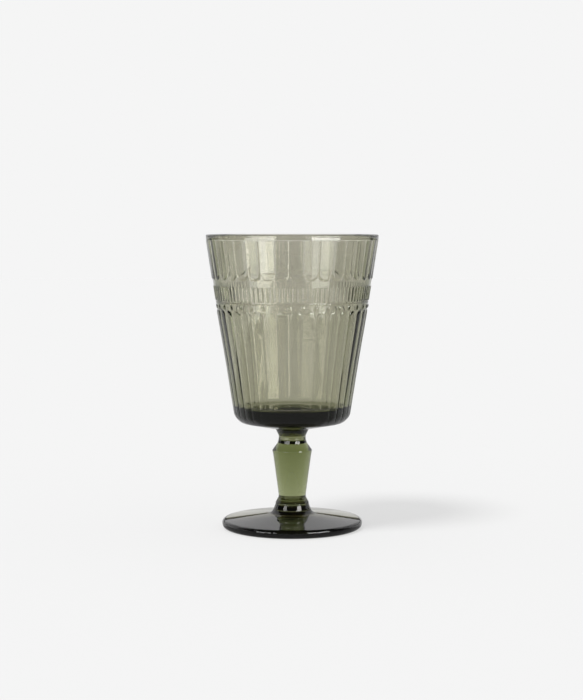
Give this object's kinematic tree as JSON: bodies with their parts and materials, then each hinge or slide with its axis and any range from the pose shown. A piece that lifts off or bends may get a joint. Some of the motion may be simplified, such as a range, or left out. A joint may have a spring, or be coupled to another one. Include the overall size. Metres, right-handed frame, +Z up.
{
  "type": "stemmed wine glass",
  "caption": "Pressed glass goblet: a reeded, banded bowl on a knopped baluster stem and a round disc foot, for serving wine or water.",
  "frame": {"origin": "centre of the flat ring that the foot stands on", "axes": "+Z up the axis of the glass, from the foot to the lip; the glass is round, so X and Y are free"},
  "size_m": [0.0878, 0.0878, 0.15],
  "materials": {
    "bowl_glass": "fire-polished pressed glass, smoky grey-green",
    "stem_glass": "fire-polished pressed glass, smoky grey-green",
    "foot_glass": "fire-polished pressed glass, smoky grey-green"
  },
  "bodies": {
    "root": {"bowl": "bowl_glass", "stem": "stem_glass", "foot": "foot_glass"}
  },
  "joints": []
}
